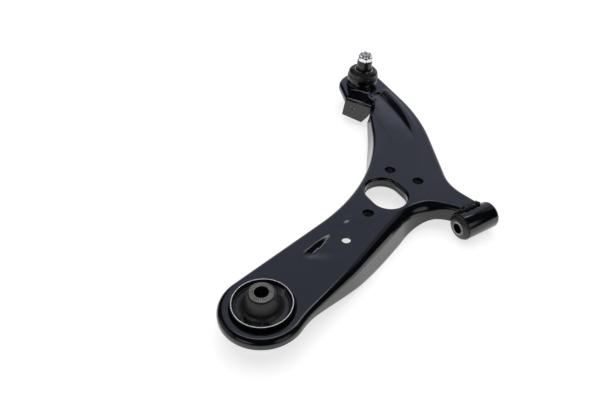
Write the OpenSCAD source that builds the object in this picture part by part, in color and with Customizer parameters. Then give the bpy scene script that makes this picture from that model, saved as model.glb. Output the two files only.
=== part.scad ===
// Front lower control arm of a car, left-hand side, with its two bushes and its ball joint.
// Frame: the origin is on the rear bush axis, level with the arm's flat top. +Z is up and
// +X is the direction of the front bush bore. Lengths are millimetres, angles degrees.

/* [Pressed shell] */
// Thickness of the pressed sheet
sheet_t = 3; // [2.5:0.5:3.5]
// Outside radius of the bend between the flat top and the side walls
bend_r = 6; // [5:0.5:7]
// Radius of the round end that carries the rear bush
eye_r = 44.5; // [43:0.1:47]
// Radius of the round end that carries the ball joint
tip_r = 33; // [32:0.5:34]
// Depth of the side wall round the rear bush
eye_depth = 9; // [8:0.5:12]
// Depth of the side wall where it is deepest, along the rear leg
wall_depth = 36; // [30:0.5:36]
// Depth of the side wall where the neck meets the front bush
neck_depth = 20; // [18:0.5:24]
// Depth of the side wall round the ball joint
tip_depth = 9; // [8:0.5:12]
// Slope of the side walls, which spread downwards
draft = 5; // [0:0.5:6]

/* [Holes in the shell] */
// Centre of the large lightening hole
window_at = [206.5, 77]; // [0:0.5:400]
// Radius of the ends of the large lightening hole
window_r = 22; // [20:0.1:23]
// Distance between the centres of its two round ends
window_span = 13; // [10:1:16]
// Depth of its turned-down flange
window_depth = 11; // [8:0.5:11.5]
// Centres of the three plug welds
plug_at = [[236.7, 109.6], [252.5, 75.1], [167.9, 58.6]]; // [0:0.1:400]
// Radius of the holes that the plug welds fill
plug_r = 6.5; // [5:0.5:8]
// Centre of the round locating hole in the rear leg
leg_hole_at = [122.5, 35.5]; // [0:0.5:400]
// Radius of the round locating hole
leg_hole_r = 5; // [4:0.5:6]
// Centre of the locating slot beside the ball joint
tip_slot_at = [313.5, 251]; // [0:0.5:400]
// Half width and centre-to-centre length of the locating slot
tip_slot = [2.8, 3.2]; // [2:0.2:5]

/* [Rear bush] */
// Radius of the bolt bore through the rear bush, for an M14 bolt
rear_bore_r = 7.1; // [6.1:0.1:8]
// Outside radius of the inner sleeve
rear_sleeve_r = 12.1; // [11.5:0.1:13]
// Lowest and highest point of the inner sleeve
rear_sleeve_z = [-36.5, 21.5]; // [-40:0.5:30]
// Outside radius of the outer ring
rear_ring_r = 31; // [30.5:0.5:31]
// Lowest and highest point of the outer ring
rear_ring_z = [-24, 6.2]; // [-26:0.2:8]
// Wall thickness of the outer ring
rear_ring_t = 2.4; // [2:0.2:3]

/* [Front bush] */
// Height of the front bush axis
front_z = -17.5; // [-18:0.5:-17]
// Where the welded tube begins and ends along X
tube_x = [257, 299.5]; // [250:0.5:305]
// Outside radius of the welded tube
tube_r = 16; // [15.5:0.5:16]
// Wall thickness of the welded tube
tube_t = 2.5; // [2:0.5:3]
// Radius of the bolt bore through the front bush, for an M12 bolt
front_bore_r = 6.2; // [5.1:0.1:6.5]
// Outside radius of the inner sleeve
front_sleeve_r = 8.7; // [8:0.1:10]
// How far the inner sleeve stands out of the tube at each end
front_sleeve_out = 5; // [4:0.5:7]

/* [Ball joint] */
// Where the ball joint axis crosses the arm's flat top
ball_joint_at = [325.3, 297.4]; // [0:0.5:400]
// Lean of the ball joint axis away from vertical
ball_joint_lean = 4; // [0:0.5:6]
// Direction in which it leans, counted from +X
ball_joint_lean_to = -31; // [-90:1:90]
// Radius of the ball
ball_r = 13.5; // [13:0.5:14]
// Depth of the ball's centre below the arm's flat top
ball_depth = 8; // [7:0.5:10]
// Outside radius of the pressed-in housing
housing_r = 20; // [19.5:0.5:20.5]
// Height of the housing's mouth above the arm's flat top
housing_top = 15; // [13:0.5:16]
// Height of the boot's top above the arm's flat top
boot_top = 24; // [22:0.5:26]
// Height of the castle nut's seat above the arm's flat top
nut_seat = 37.5; // [36:0.5:40]
// Width of the castle nut across its flats
nut_af = 19; // [17:1:19]

/* [Hidden] */

$fn = 96;
// A hair's breadth that lets a cutting body run past the face it cuts
past = 1;
// Gap between pieces that lie side by side
gap = 0.3;
// Radial clearance of a piece that turns inside another
run_gap = 0.05;
// Largest distance between an arc of the outline and its chords
chord_err = 0.1;

// Colours of the materials
black_paint = [0.07, 0.075, 0.09];
black_rubber = [0.05, 0.05, 0.05];
bare_steel = [0.62, 0.62, 0.60];
zinc = [0.78, 0.79, 0.80];
black_plastic = [0.06, 0.06, 0.065];
polymer = [0.85, 0.83, 0.76];

// ---------- plane geometry ----------

function unit(v) = v / norm(v);
function turned(v, a) = [v.x * cos(a) - v.y * sin(a), v.x * sin(a) + v.y * cos(a)];
function right_of(v) = [v.y, -v.x];
function eased(t) = t <= 0 ? 0 : t >= 1 ? 1 : t * t * (3 - 2 * t);

// Where two tangents of a circle meet, given the directions of the radii to the tangent points
function tangent_corner(centre, r, a1, a2) =
    centre + r / cos((a2 - a1) / 2) * [cos((a1 + a2) / 2), sin((a1 + a2) / 2)];

// One corner of an anticlockwise outline, as the points of its arc, moved inwards by inset
function corner_arc(before, corner, after, inset) =
    let (
        d1 = unit(corner[0] - before[0]),
        d2 = unit(after[0] - corner[0]),
        n1 = right_of(d1),
        n2 = right_of(d2),
        way = cross(d1, d2) > 0 ? 1 : -1,
        bend = acos(d1 * d2),
        steps = max(2, ceil(bend / (2 * acos(1 - chord_err / corner[1])))),
        r = max(0.2, corner[1] - way * inset),
        tip = corner[0] - inset * (n1 + n2) / (1 + n1 * n2),
        start = tip - r * tan(bend / 2) * d1,
        centre = start - way * r * n1
    )
    [for (k = [0 : steps]) centre + way * r * turned(n1, way * bend * k / steps)];

// A whole outline with its corners rounded, moved inwards by inset
function rounded(corners, inset) =
    let (n = len(corners))
    [for (i = [0 : n - 1])
        each corner_arc(corners[(i + n - 1) % n], corners[i], corners[(i + 1) % n], inset)];

// ---------- outline of the shell, anticlockwise, each corner with the radius of its arc ----------

rear_at = [0, 0];
// The last corner before the rear eye, the first after it, and the last before the tip
leg_back = [215.8, 101];
leg_front = [34, -32.5];
arm_front = [345.7, 184.5];
// The neck ends on the shoulder of the tube
neck_end_y = 7;
// The straight fold beside the ball joint that carries the bracket
fold_rear = [298.5, 236];
fold_front = [281, 272];

// Direction of the radius at which a line from point q touches a circle
function touch_angle(centre, r, q, side) =
    atan2(q.y - centre.y, q.x - centre.x) + side * acos(r / norm(q - centre));

eye_from = touch_angle(rear_at, eye_r, leg_back, 1);
eye_step = (360 + touch_angle(rear_at, eye_r, leg_front, -1) - eye_from) / 3;
tip_from = touch_angle(ball_joint_at, tip_r, arm_front, 1);
tip_step = (360 + touch_angle(ball_joint_at, tip_r, fold_front, -1) - tip_from) / 2;
// Arcs of one circle are a hair smaller, so that neighbours never share a point
arc_fit = 0.999;

outline = concat(
    [for (k = [0 : 2])
        [tangent_corner(rear_at, eye_r, eye_from + k * eye_step, eye_from + (k + 1) * eye_step),
            arc_fit * eye_r]],
    [
        [leg_front, 200],
        [[110, -6.6], 300],
        [[237.8, 47.6], 50.5],
        [[262.5, neck_end_y], 6.2],
        [[291, neck_end_y], 6.2],
        [[282.2, 51.6], 60],
        [arm_front, 300]
    ],
    [for (k = [0 : 1])
        [tangent_corner(ball_joint_at, tip_r, tip_from + k * tip_step,
            tip_from + (k + 1) * tip_step), arc_fit * tip_r]],
    [
        [fold_front, 6.5],
        [fold_rear, 3],
        [[286, 223], 6.5],
        [leg_back, 250]
    ]
);

// Points along the middle of the arm, from eye to tip: each sees the outline nearest to it
spine = [rear_at, [60, 12], [120, 30], [185, 62], [225, 70], [262, 55], [262, 120], [283, 180],
    [316, 238], ball_joint_at];
function nearest(p) =
    let (d = [for (q = spine) norm(q - p)])
    search(min(d), d)[0];

// Depth of the side wall at a point of the outline: shallow at the three ends of the arm
neck_end = [258, 15];
function depth_at(p) =
    let (
        from_rear = eye_depth
            + (wall_depth - eye_depth) * sin(90 * min(1, max(0, (norm(p - rear_at) - 44) / 125))),
        from_neck = neck_depth
            + (wall_depth - neck_depth) * eased((norm(p - neck_end) - 15) / 55),
        from_tip = tip_depth
            + (wall_depth - tip_depth) * eased((norm(p - ball_joint_at) - 35) / 170)
    )
    min(from_rear, from_neck, from_tip);

// ---------- shared shapes ----------

module tube_of(r_out, r_in, z) {
    translate([0, 0, z[0]])
        difference() {
            cylinder(r = r_out, h = z[1] - z[0]);
            translate([0, 0, -past])
                cylinder(r = r_in, h = z[1] - z[0] + 2 * past);
        }
}

// A slot or obround of half width r whose round ends are span apart along Y
module slot(r, span) {
    for (side = [-1, 1])
        translate([0, side * span / 2])
            circle(r = r);
    square([2 * r, span], center = true);
}

module ring_of_wire(r, wire_r) {
    rotate_extrude()
        translate([r, 0])
            circle(r = wire_r, $fn = 24);
}

// A bead of weld from one point to another
module weld_bead(a, b, r) {
    d = b - a;
    translate(a)
        rotate([0, acos(d.z / norm(d)), atan2(d.y, d.x)])
            cylinder(r = r, h = norm(d), $fn = 24);
}

module on_rear_bush() {
    translate([rear_at.x, rear_at.y, 0])
        children();
}

// Local +Z becomes the front bush axis, +X, from where the tube begins
module on_front_bush() {
    translate([tube_x[0], 0, front_z])
        rotate([0, 90, 0])
            children();
}

// Local +Z becomes the ball joint axis; local z = 0 is level with the arm's flat top
module on_ball_joint() {
    translate([ball_joint_at.x, ball_joint_at.y, 0])
        rotate([0, 0, ball_joint_lean_to])
            rotate([0, ball_joint_lean, 0])
                rotate([0, 0, -ball_joint_lean_to])
                    children();
}

// ---------- pressed shell and the parts welded to it ----------

bend_steps = 4;

// Triangles of a flat face between the outline, numbered from first, and the spine, from mid
function flat_face(first, mid, near) =
    let (n = len(near))
    [for (i = [0 : n - 1])
        let (
            i2 = (i + 1) % n,
            a = near[i],
            b = near[i2]
        )
        each concat(
            [[first + i2, first + i, mid + a]],
            a == b ? [] : b > a
                ? [for (k = [a : b - 1]) [first + i2, mid + k, mid + k + 1]]
                : [for (k = [a : -1 : b + 1]) [first + i2, mid + k, mid + k - 1]]
        )];
function reversed(faces) = [for (f = faces) [f[2], f[1], f[0]]];

// The pressed blank: a flat top, a rounded bend and a side wall of varying depth
module blank() {
    inner_r = bend_r - sheet_t;
    turns = [for (k = [0 : bend_steps]) 90 * k / bend_steps];
    // Each level is [inset, height]; an undefined height is the foot of the sloping wall
    levels = concat(
        [for (a = turns) [bend_r * (1 - sin(a)), -bend_r * (1 - cos(a))]],
        [[0, undef], [sheet_t, undef]],
        [for (k = [bend_steps : -1 : 0])
            [bend_r - inner_r * sin(turns[k]), -bend_r + inner_r * cos(turns[k])]]
    );
    base = rounded(outline, 0);
    n = len(base);
    rings = len(levels);
    spread = rounded(outline, -1);
    points = [for (level = levels)
        let (ring = rounded(outline, level[0]))
        for (i = [0 : n - 1])
            let (
                depth = depth_at(base[i]),
                slide = is_undef(level[1]) ? (depth - bend_r) * tan(draft) : 0,
                at = ring[i] + slide * (spread[i] - base[i])
            )
            [at.x, at.y, is_undef(level[1]) ? -depth : level[1]]];
    sides = [for (j = [0 : rings - 2], i = [0 : n - 1])
        let (
            i2 = (i + 1) % n,
            here = j * n,
            next = here + n
        )
        each [
            [here + i, here + i2, next + i2],
            [here + i, next + i2, next + i]
        ]];
    near = [for (p = base) nearest(p)];
    mid = rings * n;
    polyhedron(
        concat(points, [for (q = spine) [q.x, q.y, 0]], [for (q = spine) [q.x, q.y, -sheet_t]]),
        concat(flat_face(0, mid, near), sides,
            reversed(flat_face(mid - n, mid + len(spine), near)))
    );
}

collar_z = -19;

// The sheet turned down round the rear bush
module rear_collar() {
    arc = [for (k = [0 : 6]) 15 * k];
    mouth_r = rear_ring_r + bend_r;
    rotate_extrude()
        polygon(concat(
            [for (a = arc) [mouth_r - bend_r * sin(a), -bend_r * (1 - cos(a))]],
            [[rear_ring_r, collar_z], [rear_ring_r + sheet_t, collar_z]],
            [for (k = [6 : -1 : 0])
                [mouth_r - (bend_r - sheet_t) * sin(arc[k]),
                    -bend_r + (bend_r - sheet_t) * cos(arc[k])]]
        ));
}

module window_flange() {
    translate([window_at.x, window_at.y, -window_depth])
        linear_extrude(window_depth)
            difference() {
                slot(window_r + sheet_t, window_span);
                slot(window_r, window_span);
            }
}

pocket_at = [107, 38];
pocket_turn = -72;
pocket_depth = 0.9;

// Shallow pressed pocket in the flat top of the rear leg
module leg_pocket() {
    translate([pocket_at.x, pocket_at.y, -pocket_depth])
        rotate([0, 0, pocket_turn])
            linear_extrude(past + pocket_depth)
                slot(16, 46);
}

module upper_shell() {
    color(black_paint)
        union() {
            difference() {
                blank();
                on_rear_bush()
                    translate([0, 0, -2 * bend_r])
                        cylinder(r = rear_ring_r + bend_r, h = 3 * bend_r);
                on_front_bush()
                    translate([0, 0, -20])
                        cylinder(r = tube_r, h = tube_x[1] - tube_x[0] + 40);
                translate([window_at.x, window_at.y, -2 * sheet_t])
                    linear_extrude(3 * sheet_t)
                        slot(window_r + sheet_t, window_span);
                for (p = plug_at)
                    translate([p.x, p.y, -2 * sheet_t])
                        cylinder(r = plug_r, h = 3 * sheet_t);
                translate([leg_hole_at.x, leg_hole_at.y, -2 * sheet_t])
                    cylinder(r = leg_hole_r, h = 3 * sheet_t);
                tip_slot_hole();
                on_ball_joint()
                    translate([0, 0, -3 * sheet_t])
                        cylinder(r = housing_r, h = 6 * sheet_t);
                leg_pocket();
                bracket_hole(1.5 * bracket_hole_r, 12);
            }
            on_rear_bush()
                rear_collar();
            window_flange();
        }
}

module tip_slot_hole() {
    translate([tip_slot_at.x, tip_slot_at.y, -past - sheet_t])
        rotate([0, 0, 60])
            linear_extrude(4 * sheet_t)
                slot(tip_slot[0], tip_slot[1]);
}

plate_t = 2.5;
plate_z = -14.5;
plate_rear_x = 146;
plate_front_y = 190;
dimple_r = 10;

// Closing plate inside the middle of the shell, dimpled up to the plug welds
module lower_plate() {
    color(black_paint)
        difference() {
            union() {
                translate([0, 0, plate_z])
                    linear_extrude(plate_t)
                        intersection() {
                            polygon(rounded(outline, sheet_t + gap));
                            translate([plate_rear_x, -50])
                                square([300, plate_front_y + 50]);
                        }
                for (p = plug_at)
                    translate([p.x, p.y, plate_z])
                        cylinder(r = dimple_r, h = -sheet_t - plate_z);
            }
            for (p = plug_at)
                translate([p.x, p.y, plate_z - past])
                    cylinder(r = dimple_r - plate_t, h = -sheet_t - plate_z - plate_t + past);
            translate([window_at.x, window_at.y, plate_z - past])
                linear_extrude(plate_t + 2 * past)
                    slot(window_r - 1, window_span);
            on_front_bush()
                translate([0, 0, -20])
                    cylinder(r = tube_r + gap, h = tube_x[1] - tube_x[0] + 40);
        }
}

bracket_t = 2.5;
bracket_depth = 25;
bracket_hole_r = 3;
fold_run = fold_rear - fold_front;
fold_len = norm(fold_run);
// Outline of the hanging flange: along the fold, then down
hanging_flange = [[0, bracket_t], [-4, -bracket_depth], [0.57 * fold_len, -bracket_depth - 2],
    [0.9 * fold_len, -12], [fold_len, bracket_t]];

// Bore across the fold, from outside the hanging flange to inward behind the fold
module bracket_hole(r, inward) {
    translate([fold_front.x, fold_front.y, -9])
        rotate([0, 0, atan2(fold_run.y, fold_run.x)])
            translate([0.32 * fold_len, inward, 0])
                rotate([90, 0, 0])
                    cylinder(r = r, h = inward + bracket_t + past);
}

// Angle bracket beside the ball joint: a flange on the shell and a drilled flange hanging down
module tip_bracket() {
    color(black_paint)
        difference() {
            translate([fold_front.x, fold_front.y, 0])
                rotate([0, 0, atan2(fold_run.y, fold_run.x)]) {
                    linear_extrude(bracket_t)
                        intersection() {
                            translate([fold_len / 2, -6])
                                circle(r = 30);
                            translate([0, -bracket_t])
                                square([fold_len, 30]);
                        }
                    rotate([90, 0, 0])
                        linear_extrude(bracket_t)
                            polygon(hanging_flange);
                }
            bracket_hole(bracket_hole_r, past);
            tip_slot_hole();
            on_ball_joint()
                translate([0, 0, -past])
                    cylinder(r = housing_r + 3, h = 10);
        }
}

module bracket_weld() {
    color(black_paint)
        weld_bead([287, 252, 1], [292, 246, 1], 1.6);
}

module plug_welds() {
    color(black_paint)
        for (p = plug_at)
            translate([p.x, p.y, -sheet_t])
                cylinder(r = plug_r - 0.02, h = 1.6);
}

// Short beads between the closing plate and the side walls: where each starts, and its run
plate_seams = [[[214, 123], [22, 22]], [[245, 156], [14, 22]], [[303, 107], [-13, -28]]];

module plate_seam_welds() {
    color(black_paint)
        for (seam = plate_seams)
            weld_bead(concat(seam[0], plate_z), concat(seam[0] + seam[1], plate_z), 1.5);
}

// ---------- front bush ----------

tube_len = tube_x[1] - tube_x[0];
front_liner_t = 1.2;

module front_bush_tube() {
    color(black_paint)
        on_front_bush()
            tube_of(tube_r, tube_r - tube_t, [0, tube_len]);
}

// Beads that join the neck of the shell to the tube
module tube_welds() {
    color(black_paint)
        weld_bead([265, neck_end_y - 1, -2], [289, neck_end_y - 1, -2], 2.4);
}

module front_bush_outer_sleeve() {
    color(bare_steel)
        on_front_bush()
            tube_of(tube_r - tube_t, tube_r - tube_t - front_liner_t, [1, tube_len - 1]);
}

// Rubber bonded between the sleeves, with a tapered lip at each end
module front_bush_rubber() {
    r_out = tube_r - tube_t - front_liner_t;
    r_in = front_sleeve_r + run_gap;
    lip = 4;
    color(black_rubber)
        on_front_bush()
            rotate_extrude()
                polygon([
                    [r_in, -lip], [r_out, -lip], [tube_r - 1, -2.2], [tube_r - 1, -0.2],
                    [tube_r - tube_t, -0.2], [tube_r - tube_t, 1], [r_out, 1],
                    [r_out, tube_len - 1], [tube_r - tube_t, tube_len - 1],
                    [tube_r - tube_t, tube_len + 0.2], [tube_r - 1, tube_len + 0.2],
                    [tube_r - 1, tube_len + 2.2], [r_out, tube_len + lip],
                    [r_in, tube_len + lip]
                ]);
}

module front_bush_inner_sleeve() {
    color(bare_steel)
        on_front_bush()
            tube_of(front_sleeve_r, front_bore_r, [-front_sleeve_out, tube_len + front_sleeve_out]);
}

// ---------- rear bush ----------

module rear_bush_outer_ring() {
    color(black_paint)
        on_rear_bush()
            tube_of(rear_ring_r, rear_ring_r - rear_ring_t, rear_ring_z);
}

// Rubber body with a cone up to the inner sleeve and two kidney-shaped voids through it
module rear_bush_rubber() {
    r_out = rear_ring_r - rear_ring_t - run_gap;
    r_in = rear_sleeve_r + run_gap;
    kidney_mid = (r_out + rear_sleeve_r) / 2 + 3.2;
    kidney_half = 2.6;
    kidney_arc = 72;
    color(black_rubber)
        on_rear_bush()
            difference() {
                rotate_extrude()
                    polygon([
                        [r_in, -28], [r_in + 2.2, -28], [19, -18], [r_out, -17],
                        [r_out, 1], [23.5, 1], [19, 4], [r_in + 3.6, 14.5], [r_in, 16]
                    ]);
                for (mid = [-136, 44])
                    rotate([0, 0, mid - kidney_arc / 2])
                        translate([0, 0, -30])
                            rotate_extrude(angle = kidney_arc)
                                translate([kidney_mid - kidney_half, 0])
                                    square([2 * kidney_half, 50]);
            }
}

module rear_bush_inner_sleeve() {
    color(bare_steel)
        on_rear_bush()
            tube_of(rear_sleeve_r, rear_bore_r, rear_sleeve_z);
}

// ---------- ball joint, drawn about its own axis ----------

housing_floor = -35;
liner_t = 2;
mouth_r = 11.8;

// Pressed-in cup: a socket, a flared mouth, a shoulder and the grooves for its rings
module ball_joint_housing() {
    color(black_paint)
        on_ball_joint()
            rotate_extrude()
                polygon([
                    [ball_r + liner_t, housing_floor],
                    [housing_r, housing_floor],
                    [housing_r, -7.4], [housing_r - 1.2, -7.4], [housing_r - 1.2, -5.4],
                    [housing_r, -5.4], [housing_r, 0],
                    [housing_r + 2.4, 0], [housing_r + 2.4, 3], [housing_r - 0.6, 5],
                    [housing_r - 0.6, housing_top],
                    [housing_r - 2.2, housing_top],
                    [mouth_r + liner_t, -ball_depth + 8.2],
                    [ball_r + liner_t, -ball_depth + 6]
                ]);
}

module housing_snap_ring() {
    color(zinc)
        on_ball_joint()
            rotate([0, 0, 20])
                rotate_extrude(angle = 330)
                    translate([housing_r - 1.2, -7.3])
                        square([3.4, 1.8]);
}

// Disc rolled into the bottom of the housing
module housing_cap() {
    color(zinc)
        on_ball_joint()
            rotate_extrude()
                polygon([
                    [0, housing_floor], [ball_r + liner_t - gap, housing_floor],
                    [ball_r + liner_t - gap, housing_floor + 2.5], [0, housing_floor + 2.5]
                ]);
}

// Polymer seat below the ball
module lower_ball_seat() {
    color(polymer)
        on_ball_joint()
            difference() {
                translate([0, 0, housing_floor + 2.5])
                    cylinder(r = ball_r + liner_t - run_gap, h = -ball_depth - housing_floor - 2.6);
                translate([0, 0, -ball_depth])
                    sphere(r = ball_r + run_gap);
                translate([0, 0, housing_floor])
                    cylinder(r = 6, h = 10);
            }
}

// Polymer seat above the ball, open for the stud
module upper_ball_seat() {
    color(polymer)
        on_ball_joint()
            difference() {
                translate([0, 0, -ball_depth])
                    rotate_extrude()
                        polygon([
                            [0, 0], [ball_r + liner_t - run_gap, 0],
                            [ball_r + liner_t - run_gap, 5.9], [mouth_r + liner_t - 0.1, 8.1],
                            [mouth_r + 0.8, 9.2], [0, 9.2]
                        ]);
                translate([0, 0, -ball_depth])
                    sphere(r = ball_r + run_gap);
                translate([0, 0, -ball_depth])
                    cylinder(r = mouth_r, h = 20);
            }
}

stud_neck_r = 6.4;
stud_base_r = 8.6;
stud_thread_r = 6;

// Stud with its ball, a waisted neck, a 1:10 taper and a drilled threaded end
module ball_stud() {
    stud_end = nut_seat + nut_h + 0.5;
    taper_end_r = stud_base_r - (nut_seat - boot_top) / 20;
    color(bare_steel)
        on_ball_joint()
            difference() {
                union() {
                    translate([0, 0, -ball_depth])
                        sphere(r = ball_r);
                    rotate_extrude()
                        polygon([
                            [0, -ball_depth], [stud_neck_r, -ball_depth], [stud_neck_r, 15],
                            [stud_base_r - 0.6, 18.5], [stud_base_r - 0.6, boot_top],
                            [stud_base_r, boot_top], [taper_end_r, nut_seat - 1],
                            [stud_thread_r, nut_seat - 1], [stud_thread_r, stud_end - 1],
                            [stud_thread_r - 1, stud_end], [0, stud_end]
                        ]);
                }
                translate([0, 0, stud_end - 3])
                    cylinder(r = 2.6, h = 3 + past);
                translate([0, 0, -ball_depth - ball_r - past])
                    cylinder(r = 5, h = past + 0.6);
            }
}

// Grooves of the boot for its two rings: lowest and highest point, and radius of the floor
foot_groove_z = [10.8, 14.2];
foot_groove_r = 20.9;
lip_groove_z = 22.2;
lip_groove_r = 11.3;

// Round rubber boot between the housing and the stud
module dust_boot() {
    skin = 1.4;
    lip_r = stud_base_r - 0.6 + run_gap;
    foot_r = housing_r - 0.6 + run_gap;
    outer = [[foot_groove_r + 0.6, 10], [foot_groove_r + 0.6, foot_groove_z[0]],
        [foot_groove_r, foot_groove_z[0]], [foot_groove_r, foot_groove_z[1]],
        [20.7, 15.4], [20.7, 18.4], [19.8, 20.6], [17.8, 22.6], [15.2, 23.8],
        [13.4, boot_top], [13.4, lip_groove_z], [lip_groove_r, lip_groove_z],
        [lip_groove_r, boot_top]];
    inner = [[lip_r, boot_top], [lip_r, 20.2], [lip_groove_r, 20.2], [14.6, 22],
        [16.9, 21.2], [18.5, 19.7], [20.7 - skin, 17.8], [20.7 - skin, housing_top + gap],
        [foot_r, housing_top + gap], [foot_r, 10]];
    color(black_rubber)
        on_ball_joint()
            rotate_extrude()
                polygon(concat(outer, inner));
}

// Flat band round the foot of the boot
module boot_lower_ring() {
    color(zinc)
        on_ball_joint()
            tube_of(foot_groove_r + 0.9, foot_groove_r + 0.1,
                [foot_groove_z[0] + 0.1, foot_groove_z[1] - 0.1]);
}

// Wire ring that draws the boot's lip onto the stud
module boot_upper_ring() {
    wire_r = 0.75;
    color(zinc)
        on_ball_joint()
            translate([0, 0, lip_groove_z + wire_r + 0.15])
                ring_of_wire(lip_groove_r + wire_r + gap, wire_r);
}

// Plastic sleeve that guards the taper until the arm is fitted
module stud_sleeve() {
    color(black_plastic)
        on_ball_joint()
            tube_of(10.8, stud_base_r + 0.1, [boot_top + 0.1, nut_seat]);
}

nut_h = 9.5;
crown_h = 4;

module castle_nut() {
    across_corners = nut_af / cos(30);
    color(zinc)
        on_ball_joint()
            translate([0, 0, nut_seat])
                difference() {
                    union() {
                        cylinder(d = across_corners, h = nut_h - crown_h, $fn = 6);
                        cylinder(r = 8.4, h = nut_h);
                    }
                    translate([0, 0, -past])
                        cylinder(r = stud_thread_r + run_gap, h = nut_h + 2 * past);
                    for (k = [0 : 2])
                        rotate([0, 0, 60 * k + 30])
                            translate([-10, -1.6, nut_h - crown_h])
                                cube([20, 3.2, crown_h + past]);
                }
}

upper_shell();
lower_plate();
tip_bracket();
plug_welds();
plate_seam_welds();
bracket_weld();
front_bush_tube();
tube_welds();
front_bush_outer_sleeve();
front_bush_rubber();
front_bush_inner_sleeve();
rear_bush_outer_ring();
rear_bush_rubber();
rear_bush_inner_sleeve();
ball_joint_housing();
housing_snap_ring();
housing_cap();
lower_ball_seat();
upper_ball_seat();
ball_stud();
dust_boot();
boot_lower_ring();
boot_upper_ring();
stud_sleeve();
castle_nut();
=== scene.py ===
import math
import bmesh
import bpy
import numpy as np
from mathutils import Matrix, Vector
from mathutils.noise import noise as noise_at
from mathutils.geometry import delaunay_2d_cdt


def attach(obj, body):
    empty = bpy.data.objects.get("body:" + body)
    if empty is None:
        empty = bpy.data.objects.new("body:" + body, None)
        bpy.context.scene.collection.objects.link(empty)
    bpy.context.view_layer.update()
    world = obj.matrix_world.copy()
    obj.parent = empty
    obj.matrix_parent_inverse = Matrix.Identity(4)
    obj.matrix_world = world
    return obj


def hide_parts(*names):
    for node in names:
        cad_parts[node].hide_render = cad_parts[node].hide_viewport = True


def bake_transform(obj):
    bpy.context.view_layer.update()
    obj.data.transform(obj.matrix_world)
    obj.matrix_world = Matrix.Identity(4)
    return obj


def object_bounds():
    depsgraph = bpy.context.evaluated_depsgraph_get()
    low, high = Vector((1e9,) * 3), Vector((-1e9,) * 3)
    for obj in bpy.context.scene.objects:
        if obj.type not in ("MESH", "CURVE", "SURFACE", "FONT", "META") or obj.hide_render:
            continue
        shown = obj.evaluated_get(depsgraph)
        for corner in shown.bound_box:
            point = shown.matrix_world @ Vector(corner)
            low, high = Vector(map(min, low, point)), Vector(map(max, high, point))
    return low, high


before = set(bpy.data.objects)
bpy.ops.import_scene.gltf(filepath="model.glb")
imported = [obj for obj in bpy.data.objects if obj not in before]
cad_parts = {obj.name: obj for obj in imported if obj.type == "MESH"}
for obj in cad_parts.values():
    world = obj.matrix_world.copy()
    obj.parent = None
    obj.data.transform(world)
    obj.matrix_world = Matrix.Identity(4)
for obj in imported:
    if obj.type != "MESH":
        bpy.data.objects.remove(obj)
cad_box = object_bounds()
MM = 0.001

# ---------------------------------------------------------------- materials


def new_material(name):
    m = bpy.data.materials.new(name)
    m.use_nodes = True
    return m, m.node_tree.nodes, m.node_tree.links, m.node_tree.nodes["Principled BSDF"]


def place(nodes):
    """Object coordinates. Every mesh lies in the frame of the whole part, so they are metres in it."""
    return nodes.new("ShaderNodeTexCoord").outputs["Object"]


def noise(nodes, links, vec, scale, detail=3.0, rough=0.55, distort=0.0):
    n = nodes.new("ShaderNodeTexNoise")
    n.inputs["Scale"].default_value = scale
    n.inputs["Detail"].default_value = detail
    n.inputs["Roughness"].default_value = rough
    n.inputs["Distortion"].default_value = distort
    links.new(vec, n.inputs["Vector"])
    return n.outputs["Fac"]


def ramp(nodes, links, fac, stops):
    r = nodes.new("ShaderNodeValToRGB")
    r.color_ramp.elements[0].position = stops[0][0]
    r.color_ramp.elements[1].position = stops[-1][0]
    for pos, _ in stops[1:-1]:
        r.color_ramp.elements.new(pos)
    for e, (_, c) in zip(r.color_ramp.elements, stops):
        e.color = (*c, 1) if isinstance(c, tuple) else (c, c, c, 1)
    links.new(fac, r.inputs["Fac"])
    return r.outputs["Color"]


def bump(nodes, links, height, strength, distance, normal=None):
    b = nodes.new("ShaderNodeBump")
    b.inputs["Strength"].default_value = strength
    b.inputs["Distance"].default_value = distance
    links.new(height, b.inputs["Height"])
    if normal is not None:
        links.new(normal, b.inputs["Normal"])
    return b.outputs["Normal"]


def shade(base, factor):
    return tuple(min(1, c * factor) for c in base)


def drive(nodes, links, socket, fac, stops):
    """Drives a socket from fac, through a ramp."""
    links.new(ramp(nodes, links, fac, stops), socket)


def paint(name, base=(0.0030, 0.0034, 0.0048), rough=(0.09, 0.17), orange=0.10):
    """A black coating with a cloudy gloss. The bumps of sprayed paint grow with orange."""
    m, N, L, p = new_material(name)
    v = place(N)
    big = noise(N, L, v, 14, 4, 0.6, 0.4)
    fine = noise(N, L, v, 420, 2, 0.5)
    speck = noise(N, L, v, 1500, 1, 0.5)
    middle = sum(rough) / 2
    drive(N, L, p.inputs["Base Color"], big, [(0.3, shade(base, 0.75)), (0.7, shade(base, 1.35))])
    drive(N, L, p.inputs["Roughness"], big, [(0.25, rough[0]), (0.55, middle), (0.78, rough[1])])
    peel = bump(N, L, fine, orange, 0.00006)
    L.new(bump(N, L, speck, 0.05, 0.00003, peel), p.inputs["Normal"])
    p.inputs["IOR"].default_value = 1.5
    p.inputs["Coat Weight"].default_value = 0.3
    p.inputs["Coat Roughness"].default_value = 0.06
    return m


def rubber(name, base=(0.013, 0.013, 0.0138), rough=(0.27, 0.46)):
    m, N, L, p = new_material(name)
    v = place(N)
    big = noise(N, L, v, 60, 5, 0.65, 0.6)
    fine = noise(N, L, v, 1400, 3, 0.6)
    drive(N, L, p.inputs["Base Color"], big, [(0.3, shade(base, 0.7)), (0.75, shade(base, 1.7))])
    drive(N, L, p.inputs["Roughness"], big, [(0.3, rough[0]), (0.7, rough[1])])
    L.new(bump(N, L, fine, 0.3, 0.00008), p.inputs["Normal"])
    p.inputs["IOR"].default_value = 1.52
    return m


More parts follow.
